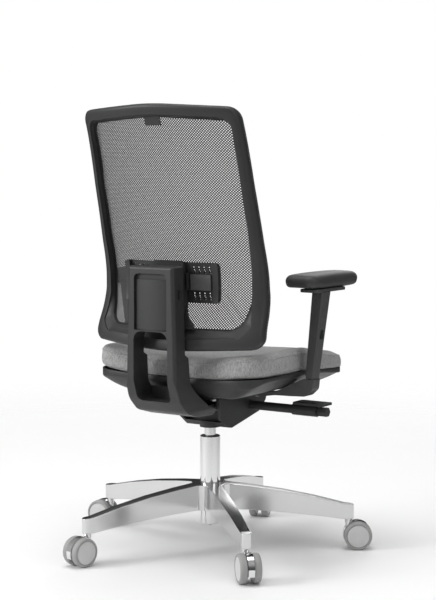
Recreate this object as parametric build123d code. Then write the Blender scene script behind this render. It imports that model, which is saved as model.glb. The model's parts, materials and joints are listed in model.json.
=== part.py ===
from build123d import *
import math
import os

# Height-adjustable office chair with a mesh back, all sizes in mm.
# The column axis is Z with the floor at Z = 0, the sitter faces -Y and +X is the sitter's left.

# Five-arm base and its casters
ARM_ANGLES = [65.75, 137.75, 209.75, 281.75, 353.75]
ARM_YAWS = [78, 136, 214, 292, 5]
ARM_REACH = 345.7
ARM_ROOT_HALF = 18
ARM_TIP_HALF = 13
ARM_WALL = 4
SOCKET_BOTTOM = 76.6
ARM_TOP = [(0, 165), (40, 163), (100, 157), (180, 146.5), (260, 132), (335, 114.5), (362, 112)]
ARM_UNDERSIDE = [(362, 76.6), (332, 76.6), (290, 82), (200, 91), (110, 97), (50, 99), (0, 99)]
STEM_RADIUS = 5.5
WHEEL_RADIUS = 35
WHEEL_TRAIL = 23
HOOD_HALF = 7.5
AXLE_RADIUS = 4
RUNNING_GAP = 0.05
SLIDING_GAP = 0.3

# Gas column
TUBE_RADIUS = 25
TUBE_BORE = 22
TUBE_TOP = 280
CYLINDER_RADIUS = 14
CYLINDER_TOP = 335
ROD_RADIUS = 5

# Tilt mechanism under the seat
HOUSING_HALF = 62
HOUSING_WALL = 8
HOUSING_SIDE = [(-169, 372), (-161, 356), (-132, 332), (-5, 305), (13, 308), (44, 331), (54, 383),
                (-166, 383)]
TILT_AXIS = (36, 360)
LIMIT_AXIS = (-58, 364)
PIN_RADIUS = 6
LEVER_AXIS = (-91, 352)
LEVER_TUBE_RADIUS = 11

# Seat
SEAT_HALF_WIDTH = 248
SEAT_FRONT = -305
SEAT_REAR = 180
PAN_BOTTOM = 397
PAN_WALL = 5
PAN_RIM = 450
CUSHION_TOP = 502
CUSHION_EDGE_RADIUS = 18

# Back: rear face of the frame on the centre line, swept round a vertical axis in front of the chair
BACK_AXIS_Y = -330
BACK_CURVE = [(210, 505), (206, 542), (200, 568), (185.7, 607), (177.8, 643), (177.6, 668), (178.9, 696),
              (184.3, 731), (193.7, 773), (207, 838), (221.6, 901), (235.5, 966), (249.6, 1023),
              (263.7, 1070), (275, 1110)]
FRAME_DEPTH = 26
MESH_DEPTH = 20
MESH_THICKNESS = 1.2
FRAME_OUTLINE = [(-242, 525), (-231, 662), (-215, 1092), (0, 1104), (215, 1092), (231, 662), (242, 525),
                 (0, 513)]
WINDOW_OUTLINE = [(-190, 566), (-205, 640), (-203, 800), (-192, 1064), (0, 1076), (192, 1064), (203, 800),
                  (205, 640), (190, 566), (0, 570)]
TONGUE_OUTLINE = [(-92, 560), (-56, 600), (-47, 650), (-44, 728),
                  (44, 728), (47, 650), (56, 600), (92, 560)]
TONGUE_RADII = (8, 50, 40, 8, 8, 40, 50, 8)

# Lumbar support: a wide plate behind the mesh, less curved than the frame
LUMBAR_AXIS_Y = -1030
LUMBAR_HALF = 135
LUMBAR_LOW = 629
LUMBAR_HIGH = 725
LUMBAR_SLITS = (66, 80, 94, 108)

# Back carrier, a loop that sweeps forward under the seat
SPINE_HALF = 74
SPINE_TOP_HALF = 65
SPINE_TOP = 718
SPINE_REAR = 253
SPINE_EDGE_RADIUS = 9
SPINE_SIDE = [(211, 718), (211, 508), (197, 500), (193, 437), (162, 408), (116, 376), (81, 364), (84, 349),
              (150, 352), (206, 368), (238, 400), (253, 445), (253, 718)]
SPINE_SIDE_RADII = (6, 3, 4, 25, 30, 30, 2, 2, 60, 50, 50, 60, 8)
SPINE_WIDTHS = [(345, SPINE_HALF), (400, SPINE_HALF), (SPINE_TOP, SPINE_TOP_HALF)]
LOOP_OUTLINE = [(-49, 395), (-49, 563), (49, 563), (49, 395)]
RECESS_HALF = 47
RECESS_TOP = 700

# Armrests
POST_Y = -50
POST_LOW = (261, 410)
POST_HIGH = (288.7, 650)
SLEEVE_BOTTOM = 440
SLEEVE_LOW_WIDTH = 21.8
SLEEVE_HIGH_WIDTH = 31
UPRIGHT_WIDTH = 15
UPRIGHT_DEPTH = 22
ARM_SCREW_X = 108
PAD_BOTTOM = 658.3
PAD_TOP = 694.5
PAD_CENTRE_X = 258
PAD_WIDTH = 90
PAD_FRONT = -230
PAD_REAR = 11
PLATE_RANGE = (250, 303)
PLATE_KEY_X = 266


def side_face(points):
    """Face drawn from the side, in Y and Z."""
    return Plane.YZ * make_face(Polyline(*points, close=True))


def side_slab(points, half_width):
    """Slab with the given side view, centred on the middle plane."""
    return extrude(side_face(points), amount=half_width, both=True)


def front_prism(points, radius):
    """Long bar along Y whose front view has rounded corners."""
    outline = FilletPolyline(*points, radius=radius, close=True)
    return extrude(Plane.XZ * make_face(outline), amount=700, both=True)


def block(x_range, y_range, z_range):
    """Plain block between two corners."""
    size = [high - low for low, high in (x_range, y_range, z_range)]
    centre = [(high + low) / 2 for low, high in (x_range, y_range, z_range)]
    return Pos(*centre) * Box(*size)


def upright_cylinder(radius, low, high, x=0, y=0):
    """Cylinder along Z between two heights."""
    return Pos(x, y, (low + high) / 2) * Cylinder(radius, high - low)


def cross_cylinder(radius, left, right, axis):
    """Cylinder along X about an axis given by its Y and Z."""
    return Pos((left + right) / 2, axis[0], axis[1]) * Rot(0, 90, 0) * Cylinder(radius, right - left)


def turned(points):
    """Solid of revolution about Z from a section in radius and height."""
    return revolve(Plane.XZ * make_face(Polyline(*points, close=True)), Axis.Z)


def star_base():
    plan = Sketch()
    for angle in ARM_ANGLES:
        corners = [(0, -20), (60, -ARM_ROOT_HALF), (ARM_REACH, -ARM_TIP_HALF),
                   (ARM_REACH, ARM_TIP_HALF), (60, ARM_ROOT_HALF), (0, 20)]
        arm = make_face(Polyline(*corners, close=True)) + Pos(ARM_REACH, 0) * Circle(ARM_TIP_HALF)
        plan += Rot(0, 0, angle) * arm
    inner_corners = [v for v in plan.vertices() if 25 < math.hypot(v.X, v.Y) < 45]
    plan = fillet(inner_corners, 20)
    side = [(0, 165)] + ARM_TOP[1:] + ARM_UNDERSIDE
    star = extrude(plan, amount=200) & turned(side)
    hollow_side = [(r, z - 6) for r, z in ARM_TOP] + [(362, 60), (0, 60)]
    hollow_plan = Sketch()
    for angle in ARM_ANGLES:
        corners = [(40, -ARM_ROOT_HALF + ARM_WALL), (326, -ARM_TIP_HALF + ARM_WALL),
                   (326, ARM_TIP_HALF - ARM_WALL), (40, ARM_ROOT_HALF - ARM_WALL)]
        hollow_plan += Rot(0, 0, angle) * make_face(Polyline(*corners, close=True))
    star -= extrude(hollow_plan, amount=200) & turned(hollow_side)
    star -= tube_outside()
    for angle in ARM_ANGLES:
        socket = upright_cylinder(STEM_RADIUS, 60, 106, x=ARM_REACH)
        star -= Rot(0, 0, angle) * socket
    return star


def tube_outside():
    """Outside of the column tube, narrowing where it sits in the hub."""
    return turned([(0, 60), (22.5, 60), (23.5, 62), (TUBE_RADIUS, 150), (TUBE_RADIUS, TUBE_TOP),
                   (0, TUBE_TOP)])


def column_tube():
    tube = tube_outside()
    tube -= upright_cylinder(21, 63, 210)
    tube -= upright_cylinder(TUBE_BORE, 210, TUBE_TOP)
    return tube - upright_cylinder(6, 50, 70)


def column_bush():
    bore = CYLINDER_RADIUS + RUNNING_GAP
    sleeve = upright_cylinder(TUBE_BORE, 210, TUBE_TOP) + upright_cylinder(24, TUBE_TOP, 282)
    return sleeve - upright_cylinder(bore, 200, 290)


def thrust_bearing():
    return upright_cylinder(13, 63, 67) - upright_cylinder(ROD_RADIUS + RUNNING_GAP, 60, 70)


def piston_rod():
    rod = upright_cylinder(ROD_RADIUS, 54, 275)
    rod += upright_cylinder(9, 67.1, 70)
    rod += upright_cylinder(10.9, 263, 275)
    return rod + upright_cylinder(9, 56.8, 59.8)


def gas_cylinder():
    cylinder = upright_cylinder(CYLINDER_RADIUS, 82, CYLINDER_TOP)
    cylinder -= upright_cylinder(11, 92, 300)
    return cylinder - upright_cylinder(ROD_RADIUS + RUNNING_GAP, 80, 95)


def caster_stem():
    return upright_cylinder(STEM_RADIUS, 50, 106) + upright_cylinder(9, 73.6, SOCKET_BOTTOM)


def caster_hood():
    """Web between the wheels with a bored boss above it and an open lower end."""
    web = Pos(WHEEL_TRAIL, 0, WHEEL_RADIUS) * Rot(90, 0, 0) * Cylinder(36, 2 * HOOD_HALF)
    web += upright_cylinder(HOOD_HALF, 40, 73.3) + upright_cylinder(9, 66, 73.3)
    web -= block((-50, 90), (-10, 10), (-5, 22))
    web -= upright_cylinder(STEM_RADIUS + RUNNING_GAP, 49.7, 80)
    return web - caster_axle()


def caster_axle():
    return Pos(WHEEL_TRAIL, 0, WHEEL_RADIUS) * Rot(90, 0, 0) * Cylinder(AXLE_RADIUS, 49)


def caster_wheel(side):
    """Wheel with a rounded tyre, a domed outer disc and a blind bore; side is 1 or -1."""
    bore = AXLE_RADIUS + RUNNING_GAP
    section = [(bore, 8), (30, 8), (33.6, 10), (35, 13.5), (35, 20), (33.6, 24), (30, 25.8), (26, 25.2),
               (25, 25.6), (18, 26.8), (9, 27.4), (0, 27.6), (0, 25), (bore, 25)]
    wheel = turned(section)
    return Pos(WHEEL_TRAIL, 0, WHEEL_RADIUS) * Rot(-90 * side, 0, 0) * wheel


def mechanism_housing():
    housing = side_slab(HOUSING_SIDE, HOUSING_HALF)
    housing += upright_cylinder(26, 304, 340)
    inside = HOUSING_HALF - HOUSING_WALL
    front = [(-154, 390), (-150, 362), (-128, 341), (-24, 319), (-24, 390)]
    rear = [(18, 390), (18, 322), (60, 322), (60, 390)]
    housing -= side_slab(front, inside)
    housing -= side_slab(rear, inside)
    housing -= upright_cylinder(CYLINDER_RADIUS, 290, CYLINDER_TOP)
    housing -= tilt_pin()
    housing -= limit_pin()
    housing -= cross_cylinder(LEVER_TUBE_RADIUS, -70, -50, LEVER_AXIS)
    housing -= cross_cylinder(8, 50, 70, LEVER_AXIS)
    return housing


def tilt_pin():
    return cross_cylinder(PIN_RADIUS, -61, 61, TILT_AXIS)


def limit_pin():
    return cross_cylinder(PIN_RADIUS, -61, 61, LIMIT_AXIS)


def tilt_spring():
    """Coil spring lying along X in the front of the housing."""
    coil = Helix(pitch=9, height=70, radius=11)
    wire = sweep(Plane(coil @ 0, z_dir=coil % 0) * Circle(2.2), path=coil)
    return Pos(-35, -122, 362) * Rot(0, 90, 0) * wire


def spring_rod():
    """Rod through the spring, held in the housing walls."""
    return cross_cylinder(5, -54, 54, (-122, 362))


def seat_carrier():
    """Plate under the seat with two pairs of ears, hinged behind the column."""
    plate = block((-84, 84), (-150, 110), (391, PAN_BOTTOM))
    carrier = plate
    slot_low = LIMIT_AXIS[1] - 18
    for side in (-1, 1):
        left, right = sorted((side * 46, side * 52))
        rear_ear = block((left, right), (26, 46), (TILT_AXIS[1], 391))
        rear_ear += cross_cylinder(10, left, right, TILT_AXIS)
        front_ear = block((left, right), (-72, -44), (336, 391))
        front_ear -= block((left, right), (-58 - 6.8, -58 + 6.8), (slot_low, LIMIT_AXIS[1]))
        front_ear -= cross_cylinder(6.8, left, right, LIMIT_AXIS)
        front_ear -= cross_cylinder(6.8, left, right, (LIMIT_AXIS[0], slot_low))
        carrier += rear_ear + front_ear
    carrier -= cross_cylinder(PIN_RADIUS + RUNNING_GAP, -60, 60, TILT_AXIS)
    for x, y in screw_places():
        carrier -= upright_cylinder(3.5, 380, 400, x, y)
    return carrier


def screw_places():
    return [(x, y) for x in (-74, 74) for y in (-135, 95)]


def seat_screws():
    screws = []
    for x, y in screw_places():
        screws.append(upright_cylinder(3.5, 388, 401, x, y) + upright_cylinder(6.5, 386, 391, x, y))
    return screws


def lever_tube():
    """Fixed tube on the sitter's right that carries the paddle and the tension rod."""
    tube = cross_cylinder(LEVER_TUBE_RADIUS, -258, -54, LEVER_AXIS)
    return tube - cross_cylinder(5 + RUNNING_GAP, -263, -50, LEVER_AXIS)


def tension_knob():
    """Rod through the tube with a six-sided knob on its outer end."""
    rod = cross_cylinder(5, -280, -40, LEVER_AXIS)
    knob = extrude(Plane.YZ * RegularPolygon(12.5, 6), amount=26)
    knob = fillet(knob.edges().filter_by(Axis.X), 3)
    return rod + Pos(-286, *LEVER_AXIS) * knob


def height_lever():
    """Sleeve on the tube with a flat paddle above it, lifted to free the column."""
    sleeve = cross_cylinder(14, -256, -188, LEVER_AXIS)
    sleeve += block((-256, -188), (LEVER_AXIS[0] - 9, LEVER_AXIS[0] + 7), (356, 366))
    paddle = block((-276, -188), (LEVER_AXIS[0] - 42, LEVER_AXIS[0] + 10), (365.2, 370.5))
    paddle = fillet(paddle.edges().filter_by(Axis.Z), 8)
    return sleeve + paddle - cross_cylinder(LEVER_TUBE_RADIUS + RUNNING_GAP, -257, -180, LEVER_AXIS)


def lock_lever():
    """Tilt lock on the sitter's left: a short shaft with a flat paddle."""
    shaft = cross_cylinder(8 - RUNNING_GAP, 50, 180, LEVER_AXIS)
    paddle = block((118, 180), (LEVER_AXIS[0] - 42, LEVER_AXIS[0] + 8), (349, 355))
    return shaft + fillet(paddle.edges().filter_by(Axis.Z), 8)


def seat_plan(half_width, front, rear):
    corners = [(-half_width, rear), (-half_width - 2, rear - 150), (-half_width + 12, front),
               (half_width - 12, front), (half_width + 2, rear - 150), (half_width, rear)]
    outline = FilletPolyline(*corners, radius=(95, 300, 72, 72, 300, 95), close=True)
    return make_face(outline)


def open_above(points):
    """Face above a dish line: curved ends with a straight flat stretch between them."""
    flats = [index for index, point in enumerate(points) if point[1] == PAN_BOTTOM]
    rise = Spline(*points[:flats[0] + 1], tangents=((1, -0.8), (1, 0)))
    floor = Line(points[flats[0]], points[flats[-1]])
    climb = Spline(*points[flats[-1]:], tangents=((1, 0), (1, 0.8)))
    lid = Polyline(points[-1], (points[-1][0], 520), (points[0][0], 520), points[0])
    return make_face([rise, floor, climb, lid])


def seat_dish(lift):
    """Everything above the dished underside of the seat, up to the rim."""
    plan = seat_plan(SEAT_HALF_WIDTH - 10, SEAT_FRONT + 8, SEAT_REAR - 9)
    across = [(-260, 464), (-238, 445), (-200, 416), (-165, 401.5), (-128, PAN_BOTTOM)]
    across += [(-x, z) for x, z in across[::-1]]
    along = [(-320, 446), (-296, 428), (-262, 405), (-225, PAN_BOTTOM), (112, PAN_BOTTOM), (145, 409),
             (172, 440), (200, 476)]
    front_view = extrude(Plane.XZ * open_above(across), amount=700, both=True)
    side_view = extrude(Plane.YZ * open_above(along), amount=300, both=True)
    dish = extrude(plan, amount=PAN_RIM) & front_view & side_view
    return Pos(0, 0, lift) * dish


def seat_pan():
    pan = seat_dish(0) - seat_dish(PAN_WALL)
    for x, y in screw_places() + [(-ARM_SCREW_X, POST_Y), (ARM_SCREW_X, POST_Y)]:
        pan -= upright_cylinder(3.5, 390, 401, x, y)
    return pan


def seat_cushion():
    pad = Pos(0, 0, PAN_RIM) * extrude(seat_plan(SEAT_HALF_WIDTH, SEAT_FRONT, SEAT_REAR),
                                       amount=CUSHION_TOP - PAN_RIM)
    top = pad.faces().sort_by(Axis.Z)[-1]
    pad = fillet(top.edges(), CUSHION_EDGE_RADIUS)
    return pad + (seat_dish(PAN_WALL) & block((-300, 300), (-400, 300), (380, PAN_RIM)))


def back_layer(front_depth, rear_depth, axis_y=BACK_AXIS_Y):
    """Curved layer of the back between two depths in front of its rear face on the centre line."""
    rear = [(y - rear_depth, z) for y, z in BACK_CURVE]
    front = [(y - front_depth, z) for y, z in BACK_CURVE]
    edges = [Spline(*rear), Line(rear[-1], front[-1]), Spline(*front[::-1]), Line(front[0], rear[0])]
    swing_axis = Axis((0, axis_y, 0), (0, 0, 1))
    layer = revolve(Plane.YZ * make_face(edges), swing_axis, revolution_arc=66)
    return layer.rotate(swing_axis, -33)


def back_window():
    return front_prism(WINDOW_OUTLINE, (30, 38, 200, 24, 200, 24, 200, 38, 30, 200))


def back_frame():
    outside = front_prism(FRAME_OUTLINE, (24, 400, 26, 400, 26, 400, 24, 400))
    return (back_layer(FRAME_DEPTH, 0) & outside) - back_window()


def back_tongue():
    """Tongue rising from the bottom rail, with the block and the tee key that slide on the carrier."""
    outline = front_prism(TONGUE_OUTLINE, TONGUE_RADII)
    tongue = back_layer(8, 0) & outline
    carriage = outline & block((-50, 50), (172, 210.7), (572, 714))
    carriage -= back_layer(60, 0.5)
    key = block((-23.7, 23.7), (205, 226), (590, 650))
    key += block((-31.7, 31.7), (219.3, 225.7), (590, 650))
    return tongue - back_window_rail() + carriage + key


def back_window_rail():
    """Everything outside the window of the frame."""
    return block((-400, 400), (-200, 500), (300, 1200)) - back_window()


def mesh_panel():
    return back_layer(MESH_DEPTH + MESH_THICKNESS, MESH_DEPTH) & back_window()


def top_clip():
    """Small plain plate under the middle of the top rail."""
    return back_layer(MESH_DEPTH - 0.5, MESH_DEPTH - 3) & block((-22, 22), (0, 400), (1046, 1072))


def spine_envelope():
    """Tapering upright block with rounded rear edges and rounded top corners."""
    depth = SPINE_REAR - 60
    sections = []
    for height, half_width in SPINE_WIDTHS:
        middle = Plane(origin=(0, SPINE_REAR - depth / 2, height))
        sections.append(middle * RectangleRounded(2 * half_width, depth, SPINE_EDGE_RADIUS))
    outline = [(-SPINE_HALF, SPINE_TOP), (-SPINE_HALF, 345), (SPINE_HALF, 345), (SPINE_HALF, SPINE_TOP)]
    return loft(sections, ruled=True) & front_prism(outline, (20, 26, 26, 20))


def back_spine():
    side = Plane.YZ * make_face(FilletPolyline(*SPINE_SIDE, radius=SPINE_SIDE_RADII, close=True))
    spine = extrude(side, amount=SPINE_HALF + 5, both=True) & spine_envelope()
    spine -= front_prism(LOOP_OUTLINE, (14, 22, 22, 14)) & block((-80, 80), (180, 270), (300, 700))
    spine -= block((-24, 24), (205, 219), (572, 714))
    spine -= block((-32, 32), (219, 226), (572, 714))
    spine -= recess() & block((-80, 80), (244, 270), (300, 720))
    spine -= button_shape((-SPINE_HALF, 232, 652), 23, SLIDING_GAP)
    tongue = block((-43, 43), (36, 88), (351, 369)) + cross_cylinder(12, -43, 43, TILT_AXIS)
    return spine + tongue - cross_cylinder(PIN_RADIUS + RUNNING_GAP, -60, 60, TILT_AXIS)


def recess():
    """Outline of the inset panel above the loop, as a bar along Y."""
    corners = [(-RECESS_HALF, 566), (-RECESS_HALF, RECESS_TOP), (RECESS_HALF, RECESS_TOP), (RECESS_HALF, 566)]
    return front_prism(corners, (1, 12, 12, 1))


def button_shape(face_centre, depth, gap=0):
    """Upright oblong plunger running along X from its outer face."""
    x, y, z = face_centre
    outline = Plane.YZ * Rot(0, 0, 90) * SlotOverall(24 + 2 * gap, 11 + 2 * gap)
    direction = 1 if x < 0 else -1
    return Pos(x, y, z) * extrude(outline, amount=direction * depth)


def back_height_button():
    return button_shape((-68.2, 232, 652), 12)


def spine_cover():
    """Slightly domed panel set into the rear of the carrier."""
    dome = upright_cylinder(170, 566, 686, y=252.6 - 170)
    return dome & recess() & block((-80, 80), (244, 270), (566, 686))


def lumbar_slit(x, z):
    """Upright slit, leaning a little, through the lumbar plate."""
    return Pos(x, 160, z) * Rot(0, 12, 0) * Box(4.5, 120, 18)


def lumbar_plate():
    """Two slotted wings behind the mesh, guided on the tongue of the frame, with a grip at each end."""
    view = [(-LUMBAR_HALF, LUMBAR_LOW), (-LUMBAR_HALF, LUMBAR_HIGH),
            (LUMBAR_HALF, LUMBAR_HIGH), (LUMBAR_HALF, LUMBAR_LOW)]
    outline = front_prism(view, 9)
    plate = back_layer(16, 12.5, LUMBAR_AXIS_Y) & outline
    for side in (-1, 1):
        for x in LUMBAR_SLITS:
            for z in (LUMBAR_LOW + 17, LUMBAR_HIGH - 17):
                plate -= lumbar_slit(side * x, z)
        left, right = sorted((side * 120, side * LUMBAR_HALF))
        plate += back_layer(14, 4, LUMBAR_AXIS_Y) & outline & block((left, right), (0, 300), (600, 760))
        left, right = sorted((side * 51, side * 54))
        plate += block((left, right), (150, 178), (660, 700)) - back_layer(40, 14, LUMBAR_AXIS_Y)
    return plate


def lumbar_bar():
    """Pale cross bar of the lumbar support, in two halves beside the tongue."""
    layer = back_layer(12.4, 7, LUMBAR_AXIS_Y)
    return [layer & block(x_range, (100, 250), (659, 696)) for x_range in ((-113, -58), (58, 113))]


def post_plane(height, side):
    """Plane across the leaning armrest post at a height."""
    share = (height - POST_LOW[1]) / (POST_HIGH[1] - POST_LOW[1])
    x = POST_LOW[0] + share * (POST_HIGH[0] - POST_LOW[0])
    lean = (side * (POST_HIGH[0] - POST_LOW[0]), 0, POST_HIGH[1] - POST_LOW[1])
    return Plane(origin=(side * x, POST_Y, height), x_dir=(0, 1, 0), z_dir=lean)


def post_bar(side, low, high, depths, widths):
    """Leaning bar between two heights, with its depth and width at each."""
    lower = post_plane(low, side) * RectangleRounded(depths[0], widths[0], 4)
    upper = post_plane(high, side) * RectangleRounded(depths[1], widths[1], 4)
    return loft([lower, upper])


def upright_bar(side, low, high, gap=0):
    """Bar that the sleeve slides on, or the channel for it."""
    depth = UPRIGHT_DEPTH + 2 * gap
    width = UPRIGHT_WIDTH + 2 * gap
    return post_bar(side, low, high, (depth, depth), (width, width))


def arm_bracket(side):
    """Bracket hugging the seat from below, bending up into the bar the sleeve slides on."""
    view = [(88, 386), (88, PAN_BOTTOM), (128, PAN_BOTTOM), (170, 404), (250, 438), (277, 438),
            (274, 412), (255, 395), (215, 393), (170, 392), (130, 386)]
    outline = FilletPolyline(*[(side * x, z) for x, z in view],
                             radius=(1, 1, 30, 30, 2, 2, 16, 16, 40, 60, 30), close=True)
    foot = extrude(Plane.XZ * make_face(outline), amount=17, both=True)
    shell_gap = Pos(0, 0, -0.4) * seat_dish(0) - block((-130, 130), (-400, 400), (300, 500))
    foot = Pos(0, POST_Y, 0) * foot - seat_dish(0) - shell_gap
    foot -= upright_cylinder(3.5, 380, 400, side * ARM_SCREW_X, POST_Y)
    return foot + upright_bar(side, 404, 560)


def arm_screw(side):
    x = side * ARM_SCREW_X
    return upright_cylinder(3.5, 383, 401, x, POST_Y) + upright_cylinder(6, 383, 386, x, POST_Y)


def arm_sleeve(side):
    sleeve = post_bar(side, SLEEVE_BOTTOM, 652, (34, 40), (SLEEVE_LOW_WIDTH, SLEEVE_HIGH_WIDTH))
    sleeve -= block((-400, 400), (-200, 100), (650, 700))
    channel = upright_bar(side, 400, 648, SLIDING_GAP)
    sleeve -= channel & block((-400, 400), (-200, 100), (400, 645))
    return sleeve - arm_button(side, SLIDING_GAP)


def arm_button(side, gap=0):
    """Release button in the outer face of the sleeve."""
    return button_shape((side * 292.6, POST_Y, 547), 4.2 if gap == 0 else 6.5, gap)


def arm_plate(side):
    """Plate on top of the sleeve with a key that guides the pad."""
    left, right = sorted(side * x for x in PLATE_RANGE)
    plate = block((left, right), (-150, -8), (650, 658))
    plate = fillet(plate.edges().filter_by(Axis.Z), 12)
    x = side * PLATE_KEY_X
    return plate + block((x - 9, x + 9), (-120, -70), (658, 664))


def arm_pad(side):
    """Soft pad with rounded edges and a groove below for the key of the plate."""
    plan = Pos(side * PAD_CENTRE_X, (PAD_FRONT + PAD_REAR) / 2)
    pad = plan * extrude(RectangleRounded(PAD_WIDTH, PAD_REAR - PAD_FRONT, 26), amount=PAD_TOP - PAD_BOTTOM)
    pad = Pos(0, 0, PAD_BOTTOM) * pad
    pad = fillet(pad.faces().sort_by(Axis.Z)[-1].edges(), 14)
    pad = fillet(pad.faces().sort_by(Axis.Z)[0].edges(), 8)
    x = side * PLATE_KEY_X
    return pad - block((x - 9.3, x + 9.3), (-155, -35), (650, 664.3))


def save(name, solids):
    """Write one named part."""
    bodies = solids if isinstance(solids, list) else [solids]
    part = Compound(children=bodies) if len(bodies) > 1 else bodies[0]
    part.label = name
    export_step(part, f"parts/{name}.step")


def at_arm(solid, number):
    """Move a caster part, built at the origin trailing along +X, under one arm."""
    angle = math.radians(ARM_ANGLES[number])
    place = Pos(ARM_REACH * math.cos(angle), ARM_REACH * math.sin(angle), 0)
    return place * Rot(0, 0, ARM_YAWS[number]) * solid


os.makedirs("parts", exist_ok=True)

save("star_base", star_base())
save("caster_stems", [at_arm(caster_stem(), number) for number in range(5)])
for number in range(5):
    save(f"caster_hood_{number + 1}", at_arm(caster_hood(), number))
    save(f"caster_axle_{number + 1}", at_arm(caster_axle(), number))
    save(f"caster_wheel_left_{number + 1}", at_arm(caster_wheel(1), number))
    save(f"caster_wheel_right_{number + 1}", at_arm(caster_wheel(-1), number))

save("column_tube", column_tube())
save("column_bush", column_bush())
save("thrust_bearing", thrust_bearing())
save("piston_rod", piston_rod())
save("gas_cylinder", gas_cylinder())

save("mechanism_housing", mechanism_housing())
save("tilt_pin", tilt_pin())
save("limit_pin", limit_pin())
save("spring_rod", spring_rod())
save("tilt_spring", tilt_spring())
save("seat_carrier", seat_carrier())
save("seat_screws", seat_screws())
save("lever_tube", lever_tube())
save("tension_knob", tension_knob())
save("height_lever", height_lever())
save("lock_lever", lock_lever())

save("seat_pan", seat_pan())
save("seat_cushion", seat_cushion())

save("back_spine", back_spine())
save("spine_cover", spine_cover())
save("back_height_button", back_height_button())
save("back_frame", back_frame())
save("back_tongue", back_tongue())
save("mesh_panel", mesh_panel())
save("top_clip", top_clip())
save("lumbar_plate", lumbar_plate())
save("lumbar_bar", lumbar_bar())

for side, word in ((-1, "right"), (1, "left")):
    save(f"arm_bracket_{word}", arm_bracket(side))
    save(f"arm_sleeve_{word}", arm_sleeve(side))
    save(f"arm_button_{word}", arm_button(side))
    save(f"arm_plate_{word}", arm_plate(side))
    save(f"arm_pad_{word}", arm_pad(side))
save("arm_screws", [arm_screw(-1), arm_screw(1)])
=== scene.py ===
import bmesh
import bpy
import json
import math
from mathutils import Matrix, Vector


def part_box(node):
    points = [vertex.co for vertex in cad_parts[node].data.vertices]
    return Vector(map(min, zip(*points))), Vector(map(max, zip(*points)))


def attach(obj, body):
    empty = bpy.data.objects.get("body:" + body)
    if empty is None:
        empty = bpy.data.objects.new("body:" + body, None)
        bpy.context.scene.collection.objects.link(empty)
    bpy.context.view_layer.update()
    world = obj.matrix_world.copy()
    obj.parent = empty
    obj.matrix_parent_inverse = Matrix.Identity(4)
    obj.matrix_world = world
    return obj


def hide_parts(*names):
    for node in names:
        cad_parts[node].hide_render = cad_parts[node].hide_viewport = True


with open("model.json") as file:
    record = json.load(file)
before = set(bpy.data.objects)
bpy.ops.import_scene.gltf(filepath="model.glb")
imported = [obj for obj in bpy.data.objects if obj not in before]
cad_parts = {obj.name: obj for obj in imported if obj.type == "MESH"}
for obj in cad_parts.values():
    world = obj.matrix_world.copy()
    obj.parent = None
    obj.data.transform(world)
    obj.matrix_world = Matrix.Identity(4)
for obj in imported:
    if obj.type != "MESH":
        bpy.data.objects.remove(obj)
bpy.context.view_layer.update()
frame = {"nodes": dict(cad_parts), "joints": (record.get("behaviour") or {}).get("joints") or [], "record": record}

# Office chair with a mesh back. Metres; the floor is Z = 0 below the column and the sitter faces -Y.

# ---- Driving values -------------------------------------------------------------------------

CAMERA_PLACE = (-2.187, 3.243, 0.955)
CAMERA_AZIMUTH = 213.71
CAMERA_ELEVATION = 4.89
CAMERA_LENS = 94.97
CAMERA_SENSOR = 36

# Rear face of the back on the centre line as (Y, Z), and the upright axis that it is swept round
BACK_AXIS_Y = -0.330
BACK_CURVE = [(0.210, 0.505), (0.206, 0.542), (0.200, 0.568), (0.1857, 0.607), (0.1778, 0.643),
              (0.1776, 0.668), (0.1789, 0.696), (0.1843, 0.731), (0.1937, 0.773), (0.207, 0.838),
              (0.2216, 0.901), (0.2355, 0.966), (0.2496, 1.023), (0.2637, 1.070), (0.275, 1.110)]
FRAME_DEPTH = 0.026

# Outlines of the back's frame and of its window, seen from the front: (X, Z, corner radius)
FRAME_CORNERS = [(-0.243, 0.525, 0.026), (-0.234, 0.662, 0.4), (-0.220, 1.085, 0.028), (0, 1.097, 0.8),
                 (0.220, 1.085, 0.028), (0.234, 0.662, 0.4), (0.243, 0.525, 0.026), (0, 0.513, 0.8)]
WINDOW_CORNERS = [(-0.186, 0.567, 0.034), (-0.203, 0.640, 0.06), (-0.205, 0.800, 0.3),
                  (-0.199, 1.056, 0.022), (0, 1.068, 0.8), (0.199, 1.056, 0.022),
                  (0.205, 0.800, 0.3), (0.203, 0.640, 0.06), (0.186, 0.567, 0.034), (0, 0.568, 0.8)]
OUTLINE_POINTS = 320

# The rail's slope from its crease to the window: shortest, longest, and how it grows with the rail
SLOPE_SHORTEST = 0.0050
SLOPE_LONGEST = 0.027
SLOPE_GROWTH = 1.1
NARROW_RAIL = 0.034

# Mesh stretched in the back: its depth, and how it wraps the frame as (past the frame, depth)
MESH_DEPTH = 0.020
MESH_THICKNESS = 0.0008
MESH_MIDDLE = Vector((0, 0.82))
MESH_WRAP = [(0.0005, 0.0135), (0.0007, 0.0185), (-0.0006, 0.0228), (-0.0040, 0.0258), (-0.0090, 0.0268)]
MESH_ROWS = 24

# Seat outline seen from above: (X, Y, corner radius). The cover's lower and upper edges rise
# towards the sides and fall towards the front
SEAT_CORNERS = [(-0.242, 0.178, 0.100), (-0.247, 0.030, 0.30), (-0.234, -0.305, 0.072),
                (0.234, -0.305, 0.072), (0.247, 0.030, 0.30), (0.242, 0.178, 0.100)]
SEAT_MIDDLE = Vector((0, -0.055))
SEAT_EDGE_LOW = 0.448
SEAT_EDGE_TOP = 0.489
SEAT_LOW_RISE = 0.006
SEAT_TOP_RISE = 0.014
SEAT_FRONT_FALL = 0.031
SEAT_LOW_FALL = 0.012
SEAT_MIDDLE_TOP = 0.484
SEAT_VOXEL = 0.005
SEAT_PRESSURE = 4.0
SEAT_SWELL = 0.006

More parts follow.
